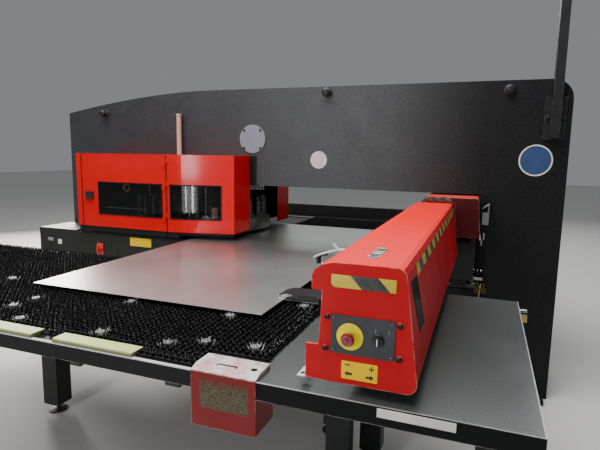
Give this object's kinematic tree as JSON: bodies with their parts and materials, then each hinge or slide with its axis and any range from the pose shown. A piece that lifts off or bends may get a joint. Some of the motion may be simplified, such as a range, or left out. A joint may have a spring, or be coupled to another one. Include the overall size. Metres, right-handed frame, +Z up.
{
  "type": "cnc turret punch press",
  "caption": "Bridge-frame sheet-metal press: covered turret of punches and dies under the bridge, brush tables, and a travelling clamp beam that feeds a sheet through the throat.",
  "frame": {"origin": "on the floor under the middle of the bridge frame", "axes": "X along the bridge with the turret on the -X side, Y through the bridge with the operator at -Y, Z up"},
  "size_m": [4.238, 5.022, 2.69],
  "materials": {
    "frame_paint": "textured",
    "red_paint": "semi-gloss",
    "dark_paint": "satin",
    "steel": "machined",
    "tool_steel": "ground",
    "sheet_steel": "mill",
    "black_plastic": "matt",
    "black_rubber": "matt",
    "red_plastic": "gloss",
    "white_hose": "gloss",
    "window": "tinted",
    "copper_paint": "matt",
    "strip_plastic": "satin",
    "brass": "satin",
    "grey_paint": "satin",
    "brush": "bristles"
  },
  "bodies": {
    "machine": {"bridge_frame": "frame_paint", "lifting_studs": "dark_paint", "access_cover": "grey_paint", "mast": "dark_paint", "mast_bracket": "dark_paint", "breather_pipe": "copper_paint", "turret_post_upper": "steel", "turret_post_lower": "steel", "ram_housing": "frame_paint", "turret_cover_front": "red_paint", "bent_window": "window", "turret_cover_rear": "red_paint", "base_cabinet_front": "dark_paint", "base_cabinet_rear": "dark_paint", "mains_switch_plate": "red_plastic", "table_brush_front": "dark_paint", "table_brush_rear": "dark_paint", "brushes_front": "brush", "brushes_rear": "brush", "table_plate_front": "dark_paint", "table_plate_rear": "dark_paint", "centre_tables": "dark_paint", "table_legs": "dark_paint", "table_feet": "dark_paint", "edge_strips": "strip_plastic", "guard_box": "red_paint", "y_rails": "steel", "y_bearings": "dark_paint", "y_motor": "dark_paint", "y_belt": "black_rubber", "air_fittings": "brass"},
    "upper_turret": {"upper_turret": "steel", "punch_holders": "tool_steel"},
    "lower_turret": {"lower_turret": "steel", "dies": "tool_steel"},
    "ram": {"ram": "steel"},
    "striker": {"striker": "tool_steel"},
    "door": {"turret_door": "red_paint", "door_window": "window"},
    "latch": {"door_latch": "black_plastic"},
    "mains_switch": {"mains_switch_knob": "red_plastic"},
    "beam": {"saddle": "dark_paint", "beam": "dark_paint", "x_rails": "steel", "x_rack": "steel", "beam_cover_front": "red_paint", "beam_cover_rear": "red_paint", "beam_hood": "red_paint", "control_panel": "grey_paint"},
    "y_screw": {"y_screw": "steel"},
    "y_pulley": {"y_motor_pulley": "steel"},
    "carriage": {"carriage": "dark_paint", "clamp_arms": "dark_paint", "clamp_hoses": "white_hose", "work_sheet": "sheet_steel", "x_motor": "dark_paint"},
    "x_pinion": {"x_pinion": "steel"},
    "jaws": {"clamp_jaws": "tool_steel"},
    "stop_button": {"stop_button": "red_plastic"},
    "selector": {"selector_knob": "black_plastic"}
  },
  "joints": [
    {"name": "upper_turn", "type": "hinge", "parent": "machine", "child": "upper_turret", "pos_m": [-0.81, 0, 1.03], "axis": [0, 0, 1], "continuous": true},
    {"name": "lower_turn", "type": "hinge", "parent": "machine", "child": "lower_turret", "pos_m": [-0.81, 0, 0.87], "axis": [0, 0, 1], "continuous": true},
    {"name": "ram_stroke", "type": "slide", "parent": "machine", "child": "ram", "axis": [0, 0, -1], "range_m": [0, 0.036]},
    {"name": "striker_shift", "type": "slide", "parent": "ram", "child": "striker", "axis": [1, 0, 0], "range_m": [-0.145, 0.145]},
    {"name": "door_hinge", "type": "hinge", "parent": "machine", "child": "door", "pos_m": [-0.735, -0.6553, 1.29], "axis": [0, 0, 1], "range_deg": [0, 95]},
    {"name": "latch_turn", "type": "hinge", "parent": "door", "child": "latch", "pos_m": [-1.461, -0.65, 1.25], "axis": [0, 1, 0], "range_deg": [0, 90]},
    {"name": "mains_turn", "type": "hinge", "parent": "machine", "child": "mains_switch", "pos_m": [-1.406, -0.63, 0.803], "axis": [0, 1, 0], "range_deg": [0, 90]},
    {"name": "y_travel", "type": "slide", "parent": "machine", "child": "beam", "axis": [1, 0, 0], "range_m": [-1.27, 0]},
    {"name": "screw_turn", "type": "hinge", "parent": "machine", "child": "y_screw", "pos_m": [0.5, 0, 0.762], "axis": [1, 0, 0], "range_deg": [-14298, 0]},
    {"name": "motor_turn", "type": "hinge", "parent": "machine", "child": "y_pulley", "pos_m": [1.529, 0.53, 0.762], "axis": [1, 0, 0], "range_deg": [-22870, 0]},
    {"name": "x_travel", "type": "slide", "parent": "beam", "child": "carriage", "axis": [0, 1, 0], "range_m": [-0.486, 2.014]},
    {"name": "pinion_turn", "type": "hinge", "parent": "carriage", "child": "x_pinion", "pos_m": [1.13117, -0.364, 1.145], "axis": [0, 0, 1], "range_deg": [-3631, 880]},
    {"name": "jaw_lift", "type": "hinge", "parent": "carriage", "child": "jaws", "pos_m": [0.9, -0.764, 0.965], "axis": [0, 1, 0], "range_deg": [0, 2.5]},
    {"name": "stop_press", "type": "slide", "parent": "beam", "child": "stop_button", "axis": [0, 1, 0], "range_m": [0, 0.006], "stiffness_N_per_m": 400, "springref_m": -0.004},
    {"name": "selector_turn", "type": "hinge", "parent": "beam", "child": "selector", "pos_m": [1.28, -2.48, 1.097], "axis": [0, 1, 0], "range_deg": [-45, 45]}
  ],
  "couplings": [
    {"joint": "lower_turn", "follows": "upper_turn", "ratio": 1},
    {"joint": "screw_turn", "follows": "y_travel", "rad_per_m": 196.35},
    {"joint": "motor_turn", "follows": "y_travel", "rad_per_m": 314.16},
    {"joint": "pinion_turn", "follows": "x_travel", "rad_per_m": -31.416}
  ]
}
